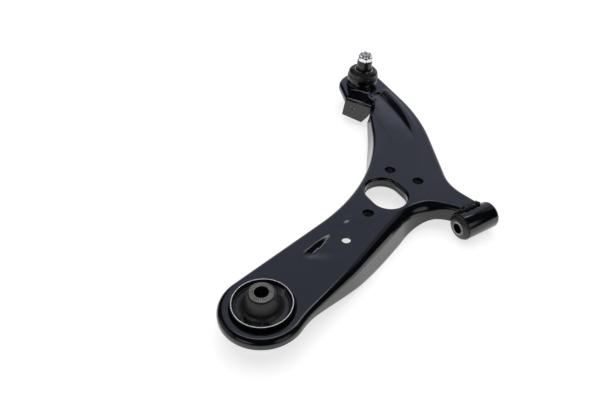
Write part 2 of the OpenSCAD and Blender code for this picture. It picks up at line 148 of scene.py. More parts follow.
def metal(name, base, rough, streak=300, spread=0.25, bumpy=0.12, metallic=1.0):
    m, N, L, p = new_material(name)
    v = place(N)
    grain = noise(N, L, v, streak, 4, 0.65)
    cloud = noise(N, L, v, 90, 4, 0.6, 0.5)
    ends = shade(base, 1 - spread), shade(base, 1 + spread * 0.6)
    drive(N, L, p.inputs["Base Color"], grain, [(0.3, ends[0]), (0.7, ends[1])])
    drive(N, L, p.inputs["Roughness"], cloud, [(0.3, rough[0]), (0.72, rough[1])])
    L.new(bump(N, L, grain, bumpy, 0.00005), p.inputs["Normal"])
    p.inputs["Metallic"].default_value = metallic
    return m


def plastic(name, base, rough):
    m, N, L, p = new_material(name)
    v = place(N)
    big = noise(N, L, v, 120, 4, 0.6)
    fine = noise(N, L, v, 2200, 2, 0.5)
    drive(N, L, p.inputs["Base Color"], big, [(0.3, shade(base, 0.8)), (0.7, shade(base, 1.25))])
    drive(N, L, p.inputs["Roughness"], big, [(0.3, rough[0]), (0.7, rough[1])])
    L.new(bump(N, L, fine, 0.2, 0.00004), p.inputs["Normal"])
    return m


BLACK = paint("black_paint")
PLUG = paint("black_paint_plug", base=(0.0022, 0.0022, 0.0026), rough=(0.3, 0.5), orange=0.8)
for socket in ("Specular IOR Level", "Coat Weight"):
    PLUG.node_tree.nodes["Principled BSDF"].inputs[socket].default_value = 0.12
BLACK_WELD = paint("black_paint_weld", base=(0.0028, 0.0028, 0.0032), rough=(0.16, 0.4), orange=0.8)
RUBBER = rubber("rubber")
BOOT = rubber("boot_rubber", base=(0.011, 0.011, 0.0115), rough=(0.2, 0.34))
STEEL = metal("bare_steel", (0.66, 0.65, 0.63), (0.3, 0.5), streak=900, spread=0.3, metallic=0.6)
EDGE = metal("bare_edge", (0.8, 0.8, 0.8), (0.3, 0.5), streak=700, spread=0.3, metallic=0.5)
ZINC = metal("zinc", (0.80, 0.80, 0.80), (0.12, 0.32), streak=350, spread=0.22, bumpy=0.3)
# Dark steel painted into the sleeves' bores and between their teeth: painted shade, not a different steel
SHADE_STEEL = metal("steel_painted_shade", (0.09, 0.085, 0.08), (0.35, 0.55), streak=700, spread=0.4)
# Near-black, dull rubber for the walls of the rear bush's kidney voids: painted shade, not the rubber's own
# colour
VOID_SHADE = rubber("rubber_painted_void_shade", base=(0.0016, 0.0016, 0.0018), rough=(0.6, 0.8))
VOID_SHADE.node_tree.nodes["Principled BSDF"].inputs["Specular IOR Level"].default_value = 0.1
BAND = metal("band_steel", (0.055, 0.055, 0.06), (0.22, 0.38), streak=500)
POLYMER = plastic("acetal", (0.62, 0.59, 0.5), (0.3, 0.45))
SLEEVE = plastic("black_plastic", (0.006, 0.006, 0.0065), (0.14, 0.26))

# ---------------------------------------------------------------- mesh helpers


def sharpen(obj, degrees):
    me = obj.data
    me.polygons.foreach_set("use_smooth", np.ones(len(me.polygons), bool))
    me.set_sharp_from_angle(angle=math.radians(degrees))
    me.update()


def mesh_object(name, verts, faces, mat, merge=1e-5, degrees=34):
    """A mesh from millimetre points, merged, cleaned and with its normals outwards."""
    me = bpy.data.meshes.new(name)
    me.from_pydata((np.asarray(verts, float) * MM).tolist(), [], [list(map(int, f)) for f in faces])
    bm = bmesh.new()
    bm.from_mesh(me)
    bmesh.ops.remove_doubles(bm, verts=bm.verts, dist=merge)
    bmesh.ops.dissolve_degenerate(bm, dist=1e-7, edges=bm.edges)
    bmesh.ops.recalc_face_normals(bm, faces=bm.faces)
    bm.to_mesh(me)
    bm.free()
    obj = bpy.data.objects.new(name, me)
    bpy.context.scene.collection.objects.link(obj)
    me.materials.append(mat)
    sharpen(obj, degrees)
    return obj


def cut(obj, cutter, op="DIFFERENCE", degrees=34, keep=False):
    """Applies an exact boolean and removes the cutter."""
    mod = obj.modifiers.new("cut", "BOOLEAN")
    mod.operation = op
    mod.solver = "EXACT"
    mod.object = cutter
    bpy.context.view_layer.update()
    me = bpy.data.meshes.new_from_object(obj.evaluated_get(bpy.context.evaluated_depsgraph_get()))
    obj.modifiers.clear()
    old = obj.data
    obj.data = me
    me.name = old.name
    bpy.data.meshes.remove(old)
    bpy.data.objects.remove(cutter)
    while len(me.materials) > 1 and not keep:
        me.materials.pop()
    sharpen(obj, degrees)
    return obj


def soften(points, r, steps=4):
    """A closed profile with each corner rounded to radius r, or to less on short edges."""
    pts = [np.array(p[:2], float) for p in points]
    radii = [p[2] if len(p) > 2 else r for p in points]
    out = []
    n = len(pts)
    for i in range(n):
        a, b, c = pts[i - 1], pts[i], pts[(i + 1) % n]
        u, w = a - b, c - b
        lu, lw = np.hypot(*u), np.hypot(*w)
        if radii[i] <= 0 or lu < 1e-6 or lw < 1e-6:
            out.append(b)
            continue
        u, w = u / lu, w / lw
        half = math.acos(max(-1, min(1, float(u @ w)))) / 2
        if half > math.radians(88) or half < math.radians(3):
            out.append(b)
            continue
        t = min(radii[i] / math.tan(half), 0.46 * lu, 0.46 * lw)
        rr = t * math.tan(half)
        centre = b + (u + w) / np.hypot(*(u + w)) * rr / math.sin(half)
        p0, p1 = b + u * t, b + w * t
        a0 = math.atan2(*(p0 - centre)[::-1])
        a1 = math.atan2(*(p1 - centre)[::-1])
        d = (a1 - a0 + math.pi) % (2 * math.pi) - math.pi
        for k in range(steps + 1):
            turn = a0 + d * k / steps
            out.append(centre + rr * np.array([math.cos(turn), math.sin(turn)]))
    return out


def ring_quads(first, size, count, flip=False, loop=False):
    """Quads between rings of points that follow each other, from the point numbered first."""
    out = []
    for k in range(count if loop else count - 1):
        a, b = first + k * size, first + (k + 1) % count * size
        for i in range(size):
            j = (i + 1) % size
            out.append((a + i, a + j, b + j, b + i) if flip else (a + i, b + i, b + j, a + j))
    return out


def lathe_mesh(profile, n=128):
    """Points and faces of a closed (r, z) profile turned round Z."""
    prof = np.array(profile, float)
    m = len(prof)
    ang = np.arange(n) * 2 * math.pi / n
    verts = np.stack([
        prof[None, :, 0] * np.cos(ang)[:, None],
        prof[None, :, 0] * np.sin(ang)[:, None],
        np.repeat(prof[None, :, 1], n, 0)], -1).reshape(-1, 3)
    return verts, ring_quads(0, m, n, loop=True)


def lathe(name, profile, mat, r=0.4, n=128, to=None, degrees=34, wave=None):
    v, f = lathe_mesh(soften(profile, r) if r else [p[:2] for p in profile], n)
    if wave:
        v = wave(v)
    if to is not None:
        v = v @ to[0].T + to[1]
    return mesh_object(name, v, f, mat, degrees=degrees)


def rot_z(a):
    a = math.radians(a)
    return np.array([[math.cos(a), -math.sin(a), 0], [math.sin(a), math.cos(a), 0], [0, 0, 1]])


def rot_y(a):
    a = math.radians(a)
    return np.array([[math.cos(a), 0, math.sin(a)], [0, 1, 0], [-math.sin(a), 0, math.cos(a)]])


# The ball joint's axis in plan with its lean, and the front bush's tube, in millimetres
TIP = np.array([325.3, 297.4])
LEAN = rot_z(-31) @ rot_y(4) @ rot_z(31)
BALL = (LEAN, np.array([*TIP, 0.0]))
TUBE_X, TUBE_R, FRONT_Z = (257.0, 299.5), 16.0, -17.5
FRONT = (np.array([[0, 0, 1.0], [0, 1, 0], [-1, 0, 0]]), np.array([TUBE_X[0], 0, FRONT_Z]))


def finish_piece(obj, body, slot, *nodes):
    """Gives a piece its body and hides the CAD nodes that it replaces. The slot argument is not used."""
    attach(obj, body)
    if nodes:
        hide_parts(*nodes)


# ---------------------------------------------------------------- outline of the shell


def unit(v):
    return v / np.hypot(*v)


def eased(t):
    t = np.clip(t, 0, 1)
    return t * t * (3 - 2 * t)


def touch(c, r, q, side):
    """The angle at which a line from q touches the circle of radius r round c."""
    d = np.subtract(q, c)
    return math.degrees(math.atan2(d[1], d[0])) + side * math.degrees(math.acos(r / np.hypot(*d)))


def round_end(c, r, start, step, count):
    """Corners at the tangents of a circle, whose arcs together make its arc from the angle start."""
    out = []
    for k in range(count):
        a1, a2 = start + k * step, start + (k + 1) * step
        m = math.radians((a1 + a2) / 2)
        reach = r / math.cos(math.radians((a2 - a1) / 2))
        out.append((np.array(c) + reach * np.array([math.cos(m), math.sin(m)]), r * 0.999))
    return out


EYE, EYE_R, TIP_R = [0, 0], 45.2, 33.0
LEG_BACK, LEG_FRONT, ARM_FRONT = [215.8, 101], [34, -32.5], [345.7, 184.5]
FOLD_REAR, FOLD_FRONT = [298.5, 236], [281, 272]
eye_from = touch(EYE, EYE_R, LEG_BACK, 1)
eye_step = (360 + touch(EYE, EYE_R, LEG_FRONT, -1) - eye_from) / 3
tip_from = touch(TIP, TIP_R, ARM_FRONT, 1)
tip_step = (360 + touch(TIP, TIP_R, FOLD_FRONT, -1) - tip_from) / 2
# Each corner of the outline and its radius, anticlockwise from the eye
CORNERS = (
    round_end(EYE, EYE_R, eye_from, eye_step, 3)
    + [(LEG_FRONT, 140), ([110, -6.6], 300), ([237.8, 47.6], 50.5), ([262.5, 7], 6.2), ([291, 7], 6.2),
       ([282.2, 51.6], 60), (ARM_FRONT, 300)]
    + round_end(TIP, TIP_R, tip_from, tip_step, 2)
    + [(FOLD_FRONT, 6.5), (FOLD_REAR, 3), ([286, 223], 6.5), (LEG_BACK, 250)])


def corner_arcs(inset):
    """The arc of each corner, moved inwards by inset, with the same number of points at every inset."""
    arcs = []
    n = len(CORNERS)
    for i in range(n):
        a, b, c = (np.array(CORNERS[(i + k) % n][0], float) for k in (-1, 0, 1))
        radius = CORNERS[i][1]
        d1, d2 = unit(b - a), unit(c - b)
        n1, n2 = np.array([d1[1], -d1[0]]), np.array([d2[1], -d2[0]])
        way = 1 if d1[0] * d2[1] - d1[1] * d2[0] > 0 else -1
        bend = math.acos(float(d1 @ d2))
        steps = max(2, math.ceil(bend * radius / 2.0), math.ceil(bend / math.radians(7)))
        r = max(0.2, radius - way * inset)
        corner = b - inset * (n1 + n2) / (1 + n1 @ n2)
        start = corner - r * math.tan(bend / 2) * d1
        centre = start - way * r * n1
        th = way * bend * np.arange(steps + 1) / steps
        arcs.append(centre + way * r * np.stack([
            n1[0] * np.cos(th) - n1[1] * np.sin(th),
            n1[0] * np.sin(th) + n1[1] * np.cos(th)], -1))
    return arcs


EDGE_STEP = 2.2
ARCS0 = corner_arcs(0)
GAPS = [np.hypot(*(ARCS0[(i + 1) % len(ARCS0)][0] - arc[-1])) for i, arc in enumerate(ARCS0)]
RUNS = [max(1, math.ceil(gap / EDGE_STEP)) for gap in GAPS]


def ring(inset):
    """The whole outline, moved inwards by inset."""
    arcs = corner_arcs(inset)
    out = []
    for i, arc in enumerate(arcs):
        out.append(arc)
        nxt = arcs[(i + 1) % len(arcs)][0]
        t = np.arange(1, RUNS[i])[:, None] / RUNS[i]
        out.append(arc[-1] + (nxt - arc[-1]) * t)
    return np.concatenate(out)


BASE = ring(0)
SPREAD = ring(-1) - BASE
END_DEPTH, NECK_DEPTH, FULL_DEPTH = 9, 20, 36


def wall_depth(p):
    """The wall is low round the eye and the ball joint, higher at the neck and full between them."""
    along_leg = np.clip((np.hypot(*p.T) - 44) / 125, 0, 1)
    eye = END_DEPTH + (FULL_DEPTH - END_DEPTH) * np.sin(np.radians(90 * along_leg))
    neck = NECK_DEPTH + (FULL_DEPTH - NECK_DEPTH) * eased((np.hypot(*(p - [258, 15]).T) - 15) / 55)
    tip = END_DEPTH + (FULL_DEPTH - END_DEPTH) * eased((np.hypot(*(p - TIP).T) - 35) / 170)
    return np.minimum(np.minimum(eye, neck), tip)


def bend_radius(p):
    """The bend is tight round the ends and broad along the front of the rear leg."""
    front = eased((0.30 * p[:, 0] + 8 - p[:, 1]) / 12) * eased((p[:, 0] - 30) / 150)
    front *= 1 - eased((p[:, 0] - 232) / 26)
    return 6 + 7.5 * front


BASE_R = bend_radius(BASE)
SHEET = 3.0
# How many points are measured at a time
BATCH = 2000


def nearest_on(loop, p):
    """Distance from each point to a closed loop, the nearest edge's index and the share along it."""
    edge = np.roll(loop, -1, 0) - loop
    square = np.maximum((edge * edge).sum(-1), 1e-9)
    parts = []
    for start in range(0, len(p), BATCH):
        q = p[start:start + BATCH, None]
        t = np.clip(((q - loop) * edge).sum(-1) / square, 0, 1)
        d = np.hypot(*np.moveaxis(q - (loop + edge * t[..., None]), -1, 0))
        i = d.argmin(1)
        row = np.arange(len(i))
        parts.append((d[row, i], i, t[row, i]))
    return [np.concatenate(part) for part in zip(*parts)]


def nearest_outline(p):
    """Distance from each point to the outline, and the bend radius there."""
    d, i, t = nearest_on(BASE, p)
    return d, BASE_R[i] + (np.roll(BASE_R, -1)[i] - BASE_R[i]) * t


def bend_drop(d, r, sheet=0.0):
    """How far the bend has fallen at distance d inside the outline, or on its inner face below a sheet."""
    radius = r - sheet
    x = np.clip(r - d, 0, radius)
    return radius - np.sqrt(np.maximum(radius * radius - x * x, 0))


def curve_x(y, pts):
    xs, ys = zip(*pts)
    return np.interp(y, ys, xs)


def bell(*offsets):
    """A smooth hump. Each offset is a distance from its top, divided by its half width."""
    return np.exp(-sum(o ** 2 for o in offsets))


def pocket(p):
    """The rear leg's pocket: steep on its back side, with a floor that rises gently to the front."""
    s, t = p @ np.array([0.955, 0.295]), p @ np.array([-0.295, 0.955])
    near = s - 0.45 * (20 - t)
    deep = np.interp(s, [84, 100, 112, 122, 146, 162], [3.2, 2.8, 1.3, 0.48, 0.42, 0])
    deep = deep * eased((near - 71) / (13 + 0.4 * (20 - t)))
    width = np.interp(s, [80, 100, 112, 150], [9.5, 8.0, 6.5, 6.0])
    wall = 1 - eased((t - (20.6 - width)) / width)
    z = -deep * wall * np.clip((t + 17) / (36 - width), 0, 1)
    z = z + 0.68 * bell((s - 154) / 6, (t - 17) / 4)
    return z + 0.35 * bell((t + 15) / 4.0) * eased((s - 92) / 30) * (1 - eased((s - 140) / 30))


def panel(p):
    """The upper arm's panel: a step at its left edge, and a crescent-shaped rise on its right."""
    x, y = p[:, 0], p[:, 1]
    inner = curve_x(y, [(303, 146), (308, 160), (313, 175), (319, 195),
                        (323, 215), (326, 235), (328, 250), (329, 260)])
    outer = curve_x(y, [(305, 146), (312, 160), (319.5, 175), (327.5, 197),
                        (333.5, 215), (338, 235), (341, 250), (342, 260)])
    left = curve_x(y, [(272, 150), (279.5, 175), (286, 197), (296, 230), (303, 246), (309, 258)])
    along = np.interp(y, [146, 160, 175, 195, 215], [0, 0.3, 0.6, 0.88, 1]) * (1 - eased((y - 260) / 8))
    step = eased((y - 168) / 22) * (1 - eased((y - 236) / 16))
    slope = np.clip((x - left) / np.maximum(inner - left, 1), 0, 1)
    rise = np.clip((x - inner) / np.maximum(outer - inner, 1), 0, 1)
    rise = 0.8 * rise + 0.2 * eased(rise)
    low = -3.0 * along
    high = 1.5 * along * (1 - eased((x - outer) / 18))
    z = step * 0.9 * eased((x - left + 1.0) / 1.8) * (1 - slope) + low * slope ** 1.4
    return np.where(x > left - 2, z * (1 - rise) + high * rise, 0)


def dent(p, c, turn):
    """A small long dent beside the eye."""
    d = p - c
    along = d @ np.array([math.cos(turn), math.sin(turn)])
    across = d @ np.array([-math.sin(turn), math.cos(turn)])
    return -0.22 * bell(along / 3.6, across / 1.3)


def press_waves(p):
    """The slow waves that the press leaves."""
    x, y = p[:, 0], p[:, 1]
    return 0.07 * np.sin(x / 17 + y / 31) * np.sin(y / 23 - x / 45) + 0.03 * np.sin(x / 7.3 - y / 9.1)


def top_relief(p):
    """Height of the flat top's reliefs, in millimetres. The eye's rim is flat."""
    z = pocket(p) + panel(p) + dent(p, (43.0, 38.9), 0.2) + dent(p, (36.0, 45.0), 0.5) + press_waves(p)
    return z * eased((np.hypot(*p.T) - 36) / 8)


# ---------------------------------------------------------------- shell


def circle(c, r, n):
    a = np.arange(n) * 2 * math.pi / n
    return np.stack([c[0] + r * np.cos(a), c[1] + r * np.sin(a)], -1)


def slot_loop(c, r, span, n, turn=0.0):
    """A slot with round ends of radius r, whose centres are span apart, turned by turn degrees."""
    a = np.linspace(0, math.pi, n // 2)
    top = np.stack([r * np.cos(a), span / 2 + r * np.sin(a)], -1)
    pts = np.concatenate([top, -top])
    if span > 4:
        pts = filled(pts, EDGE_STEP)
    t = math.radians(turn)
    return pts @ np.array([[math.cos(t), math.sin(t)], [-math.sin(t), math.cos(t)]]) + c


def filled(loop, step):
    """A closed loop with points put in where two of its points lie more than step apart."""
    out = []
    for i, p in enumerate(loop):
        d = loop[(i + 1) % len(loop)] - p
        m = int(np.hypot(*d) / step)
        out += [p] + [p + d * j / (m + 1) for j in range(1, m + 1)]
    return np.array(out)


def inside(poly, p):
    x, y = p[:, 0], p[:, 1]
    hit = np.zeros(len(p), bool)
    for (x1, y1), (x2, y2) in zip(poly, np.roll(poly, -1, 0)):
        if y1 != y2:
            hit ^= ((y1 > y) != (y2 > y)) & (x < (x2 - x1) * (y - y1) / (y2 - y1) + x1)
    return hit


def sheet_mesh(outer, holes, step):
    """Points and triangles of a flat sheet with holes. The loops' points come first, in order."""
    loops = [outer] + holes
    lo, hi = outer.min(0), outer.max(0)
    grid = []
    for k, y in enumerate(np.arange(lo[1], hi[1], step * 0.866)):
        xs = np.arange(lo[0] + (k % 2) * step / 2, hi[0], step)
        grid.append(np.stack([xs, np.full(len(xs), y)], -1))
    grid = np.concatenate(grid)
    grid = grid[inside(outer, grid)]
    for hole in holes:
        grid = grid[~inside(hole, grid)]
    for loop in loops:
        grid = grid[nearest_on(loop, grid)[0] > step * 0.55]
    edges, first = [], 0
    for loop in loops:
        edges += [(first + i, first + (i + 1) % len(loop)) for i in range(len(loop))]
        first += len(loop)
    points = [Vector(p) for p in np.concatenate(loops + [grid]).tolist()]
    out = delaunay_2d_cdt(points, edges, [], 0, 1e-6)
    vs = np.array([tuple(v) for v in out[0]], float)
    tri = np.array([f for f in out[2] if len(f) == 3])
    mid = vs[tri].mean(1)
    good = inside(outer, mid)
    for hole in holes:
        good &= ~inside(hole, mid)
    return vs, tri[good]


WINDOW, WINDOW_R, WINDOW_SPAN = np.array([206.5, 77.0]), 22.0, 13.0
PLUGS = [np.array(p) for p in ([236.7, 109.6], [252.5, 75.1], [167.9, 58.6])]
LEG_HOLE = np.array([122.5, 35.5])
TIP_SLOT = np.array([313.5, 251.0])
# The two flanged holes: radius of the edge, a depth part-way down the wall and the foot's depth
FLANGES = {"window": (3.4, 7.5, 13), "collar": (3.6, 12, 19)}


def loop_profile(kind):
    """Offsets (into the hole, height) of a hole's edge, from the top sheet to the underside."""
    if kind == "plain":
        half = [(-0.45, 0), (-0.18, -0.06), (0, -0.35)]
        return half + [(inset, -SHEET - z) for inset, z in half[::-1]]
    r, mid, foot = FLANGES[kind]
    a = np.radians(np.linspace(0, 90, 9))
    top = [(-r + r * math.sin(t), -r * (1 - math.cos(t))) for t in a]
    outside = [(0, -mid), (0, 0.6 - foot), (-0.25, 0.15 - foot), (-0.8, -foot)]
    back = [(-SHEET - inset, z) for inset, z in outside[::-1]]
    low = [(-r + (r - SHEET) * math.sin(t), -r + (r - SHEET) * math.cos(t)) for t in a[::-1]]
    return top + outside + back + low


def hole_loops():
    """Each hole of the shell: its kind, and its loop at an inset from the hole's wall."""
    fns = [("collar", lambda o: circle(EYE, 31.02 - o, 150)),
           ("window", lambda o: slot_loop(WINDOW, WINDOW_R - 0.9 - o, WINDOW_SPAN, 96))]
    for p in PLUGS:
        fns.append(("plain", lambda o, p=p: circle(p, 6.5 - o, 40)))
    fns.append(("plain", lambda o: circle(LEG_HOLE, 5 - o, 40)))
    fns.append(("plain", lambda o: slot_loop(TIP_SLOT, 2.8 - o, 3.2, 36, 60)))
    fns.append(("plain", lambda o: circle(TIP + [-0.1, 0.05], 20.3 - o, 72)))
    return fns


def top_height(p):
    d, r = nearest_outline(p)
    return top_relief(p) * eased((d - 6) / 7) - bend_drop(d, r)


def under_height(p):
    d, r = nearest_outline(p)
    return top_relief(p) * eased((d - 6) / 7) - SHEET - bend_drop(d, r, SHEET)


TOP_INSET = 6
LIP, LIP_MID = 0.9, 0.27


def rim_rings():
    """From the top sheet down the bend and the wall, round the foot and back up inside."""
    depth = wall_depth(BASE)
    # The wall leans out a little, and more on the left side of the upper arm
    y = BASE[:, 1]
    flare = np.full(len(BASE), math.tan(math.radians(5)))
    flare += 0.17 * eased((y - 128) / 45) * (1 - eased((y - 226) / 12)) * (SPREAD[:, 0] < -0.3)
    flare = np.convolve(np.concatenate([flare[-6:], flare, flare[:6]]), np.ones(13) / 13, "valid")

    def wall(inset, z):
        fall = np.maximum(0, -z - BASE_R)
        return ring(inset) + SPREAD * (fall * flare)[:, None], z

    def down_to(share):
        return -BASE_R - (depth - LIP - BASE_R) * share

    quarter = np.radians(np.linspace(0, 90, 13))
    outer = [TOP_INSET * (1 - math.sin(a)) for a in quarter]
    inner = [SHEET + (TOP_INSET - SHEET) * (1 - math.sin(a)) for a in quarter[::-1]]
    rings = [(ring(d), -bend_drop(d, BASE_R)) for d in outer]
    rings += [wall(0, down_to(t)) for t in (0.12, 0.3, 0.5, 0.7, 0.87)]
    for inset, lift in ((0, LIP), (LIP_MID, LIP_MID), (LIP, 0), (SHEET - LIP, 0), (SHEET - LIP_MID, LIP_MID),
                        (SHEET, LIP)):
        rings.append(wall(inset, -(depth - lift)))
    rings += [wall(SHEET, down_to(t)) for t in (0.8, 0.55, 0.3, 0.1)]
    rings += [(ring(d), -SHEET - bend_drop(d, BASE_R, SHEET)) for d in inner]
    rings[0] = (rings[0][0], top_height(rings[0][0]))
    rings[-1] = (rings[-1][0], under_height(rings[-1][0]))
    return [np.column_stack([at, z]) for at, z in rings]


def hole_rings(kind, loop_at):
    """From the top sheet down the wall of a hole to the underside."""
    profile = loop_profile(kind)
    z_top = top_height(loop_at(profile[0][0]))
    z_low = under_height(loop_at(profile[-1][0])) + SHEET
    last = len(profile) - 1
    rings = []
    for k, (inset, z) in enumerate(profile):
        share = k / last
        if kind == "plain":
            lift = z_top * (1 - share) + z_low * share
        else:
            lift = z_top * (k == 0) + z_low * (k == last)
        rings.append(np.column_stack([loop_at(inset), z + lift]))
    return rings


def build_shell():
    holes = hole_loops()
    edges = [loop_at(loop_profile(kind)[0][0]) for kind, loop_at in holes]
    pts, tri = sheet_mesh(ring(TOP_INSET), edges, 1.5)
    verts = [np.column_stack([pts, top_height(pts)]), np.column_stack([pts, under_height(pts)])]
    faces = tri.tolist() + (tri[:, ::-1] + len(pts)).tolist()
    count = 2 * len(pts)
    for rings, flip in [(rim_rings(), False)] + [(hole_rings(*hole), True) for hole in holes]:
        faces += ring_quads(count, len(rings[0]), len(rings), flip=flip)
        count += len(rings[0]) * len(rings)
        verts += rings
    return mesh_object("shell", np.concatenate(verts), faces, BLACK, merge=2e-6, degrees=38)


def cylinder(name, r, z0, z1, n, to):
    """A plain cylinder, for cutting."""
    return lathe(name, [(0, z0), (r, z0), (r, z1), (0, z1)], BLACK, r=0, n=n, to=to)


shell = build_shell()
cut(shell, cylinder("tube_cutter", TUBE_R, -20, 62, 96, FRONT), degrees=38)
# The bracket's fold line, and the hole through the bracket and the shell's wall behind it
fold = np.array(FOLD_REAR, float) - FOLD_FRONT
FOLD_LEN = float(np.hypot(*fold))
E1 = fold / FOLD_LEN
E2 = np.array([-E1[1], E1[0]])
hole_at = np.array([*(np.array(FOLD_FRONT) + 0.32 * fold), -9.0])
HOLE = (np.column_stack([np.array([E1[0], E1[1], 0]), [0, 0, 1], np.array([-E2[0], -E2[1], 0])]), hole_at)
cut(shell, cylinder("shell_hole", 4.5, -12, 6, 48, HOLE), degrees=38)
finish_piece(shell, "arm", "black_paint", "upper_shell")

# ---------------------------------------------------------------- closing plate

PLATE_REAR_X, PLATE_TIP_Y, TUBE_CLEAR_Y = 146, 190, 18.5
PLATE_TOP, PLATE_LOW = -12.02, -14.5


def clip_poly(poly, axis, limit, keep_above):
    out = []
    n = len(poly)
    for i in range(n):
        a, b = poly[i], poly[(i + 1) % n]
        ia = (a[axis] > limit) == keep_above
        ib = (b[axis] > limit) == keep_above
        if ia:
            out.append(a)
        if ia != ib:
            t = (limit - a[axis]) / (b[axis] - a[axis])
            out.append(a + (b - a) * t)
    return np.array(out)


def build_plate():
    edge = clip_poly(clip_poly(ring(3.4), 0, PLATE_REAR_X, True), 1, PLATE_TIP_Y, False)
    keep = [edge[0]]
    for p in edge[1:]:
        if np.hypot(*(p - keep[-1])) > 0.3:
            keep.append(p)
    edge = filled(keep, 2.6)
    # The plate stops short of the tube
    beside_tube = (edge[:, 0] > 250) & (edge[:, 1] < TUBE_CLEAR_Y)
    edge[:, 1] = np.where(beside_tube, TUBE_CLEAR_Y, edge[:, 1])
    edge = edge[np.hypot(*(edge - np.roll(edge, 1, 0)).T) > 0.2]
    win = slot_loop(WINDOW, WINDOW_R - 1.2, WINDOW_SPAN, 80)
    pts, tri = sheet_mesh(edge, [win], 2.2)
    # The plate rises to the plug welds and to the window's flange
    lift = np.zeros(len(pts))
    for c in PLUGS:
        lift = np.maximum(lift, 9.0 * (1 - eased((np.hypot(*(pts - c).T) - 7.5) / 7.5)))
    lift = lift + 2.4 * (1 - eased(nearest_on(win, pts)[0] / 7))
    verts = [np.column_stack([pts, PLATE_TOP + lift]), np.column_stack([pts, PLATE_LOW + lift])]
    faces = tri.tolist() + (tri[:, ::-1] + len(pts)).tolist()
    for s0, m in ((0, len(edge)), (len(edge), len(win))):
        for i in range(m):
            j = (i + 1) % m
            faces.append((s0 + i, s0 + i + len(pts), s0 + j + len(pts), s0 + j))
    return mesh_object("closing_plate", np.concatenate(verts), faces, BLACK, merge=2e-6, degrees=38)


finish_piece(build_plate(), "arm", "black_paint", "lower_plate")

# ---------------------------------------------------------------- bracket beside the ball joint


def build_bracket():
    """Rows along the fold line. Each goes over the top, round the fold and down the front, and back."""
    rows, bend, top, face = 49, 3.2, 2.2, -2.2
    foot = top - bend
    s = np.linspace(0, FOLD_LEN, rows)
    reach = -6 + np.sqrt(900 - (s - FOLD_LEN / 2) ** 2)
    narrow = np.interp(s, [25, 30, FOLD_LEN], [23.5, 14.5, 12])
    reach = np.where(s > 25, np.minimum(reach, narrow), reach)
    drop = np.interp(s / FOLD_LEN, [0, 0.72, 0.93, 1.0], [25, 27.5, 15, 9])
    verts = []
    for along, far, low in zip(s, reach, drop):
        outer, inner = [], []
        for f in np.linspace(1, 0, 14):
            z = top + 6.8 * min(1, f / 0.74) * (1 - 0.35 * eased((along - 22) / 14))
            edge = min((1 - f) * (far - 1.0), 2.2) / 2.2
            outer.append((1.0 + (far - 1.0) * f, z - 1.4 * (1 - math.sqrt(max(0, 1 - (1 - edge) ** 2)))))
            inner.append((1.0 + (far - 1.0) * f, -0.25))
        for a in np.radians(np.linspace(0, 90, 8))[1:]:
            outer.append((1.0 - bend * math.sin(a), top - bend * (1 - math.cos(a))))
            inner.append((1.0 - 1.6 * math.sin(a), -0.25 - 0.35 * (1 - math.cos(a))))
        for g in np.linspace(0, 1, 18)[1:]:
            outer.append((face - 0.6 * g, foot - (low + foot) * g))
            inner.append((-0.6 * g, -0.6 - (low - 0.6) * g))
        line = outer + inner[::-1]
        for t, z in line:
            shift = -4.0 * max(0, -z) / 25 * (1 - along / FOLD_LEN)
            verts.append((*(np.array(FOLD_FRONT) + E1 * (along + shift) + E2 * t), z))
    m = len(line)
    faces = ring_quads(0, m, rows)
    for first, way in ((0, 1), ((rows - 1) * m, -1)):
        for j in range(m // 2 - 1):
            faces.append((first + j, first + j + 1, first + m - 2 - j, first + m - 1 - j)[::way])
    obj = mesh_object("clip_bracket", verts, faces, BLACK, degrees=40)
    return cut(obj, cylinder("bracket_hole", 3, -4, 6, 48, HOLE), degrees=40)


finish_piece(build_bracket(), "arm", "black_paint", "tip_bracket")

# ---------------------------------------------------------------- welds


def bead(name, path, width, ripple=0.18, pitch=1.6, sides=14, seed=0, flat=0.8, lumps=0.08):
    """A weld bead along a path, with its ripples, as one closed mesh."""
    path = np.array(path, float)
    seg = np.linalg.norm(np.diff(path, axis=0), axis=1)
    total = seg.sum()
    cum = np.concatenate([[0], np.cumsum(seg)])
    count = max(8, int(total / 0.4))
    t = np.linspace(0, total, count)
    pts = np.stack([np.interp(t, cum, path[:, k]) for k in range(3)], -1)
    tang = np.gradient(pts, axis=0)
    tang /= np.linalg.norm(tang, axis=1)[:, None]
    knots = np.random.default_rng(seed).normal(0, lumps, 9)
    wob = np.interp(np.arange(count), np.linspace(0, count, 9), knots)
    verts = []
    for k in range(count):
        side = np.cross(tang[k], [0, 0, 1.0])
        side /= np.linalg.norm(side)
        up = np.cross(side, tang[k])
        end = min(t[k], total - t[k])
        cap = math.sqrt(max(0.0, 1 - (1 - min(1, end / (0.9 * width))) ** 2))
        rip = 1 + ripple * (0.5 + 0.5 * math.sin(2 * math.pi * t[k] / pitch)) + wob[k]
        for i in range(sides):
            a = 2 * math.pi * i / sides
            spot = Vector(pts[k]) * 0.55 + Vector((math.cos(a), math.sin(a), seed))
            rr = width * (0.02 + cap * rip * (1 + lumps * 1.6 * noise_at(spot)))
            around = math.cos(a) * side + flat * math.sin(a) * up
            verts.append(pts[k] + rr * around + 0.12 * width * wob[k] * up)
    faces = ring_quads(0, sides, count, flip=True)
    faces.append(tuple(range(sides))[::-1])
    faces.append(tuple((count - 1) * sides + i for i in range(sides)))
    return mesh_object(name, verts, faces, BLACK_WELD, degrees=60)


def join_meshes(name, objs):
    bm = bmesh.new()
    for o in objs:
        bm.from_mesh(o.data)
    me = bpy.data.meshes.new(name)
    bm.to_mesh(me)
    bm.free()
    me.materials.append(objs[0].data.materials[0])
    obj = bpy.data.objects.new(name, me)
    bpy.context.scene.collection.objects.link(obj)
    for o in objs:
        bpy.data.objects.remove(o)
    return obj


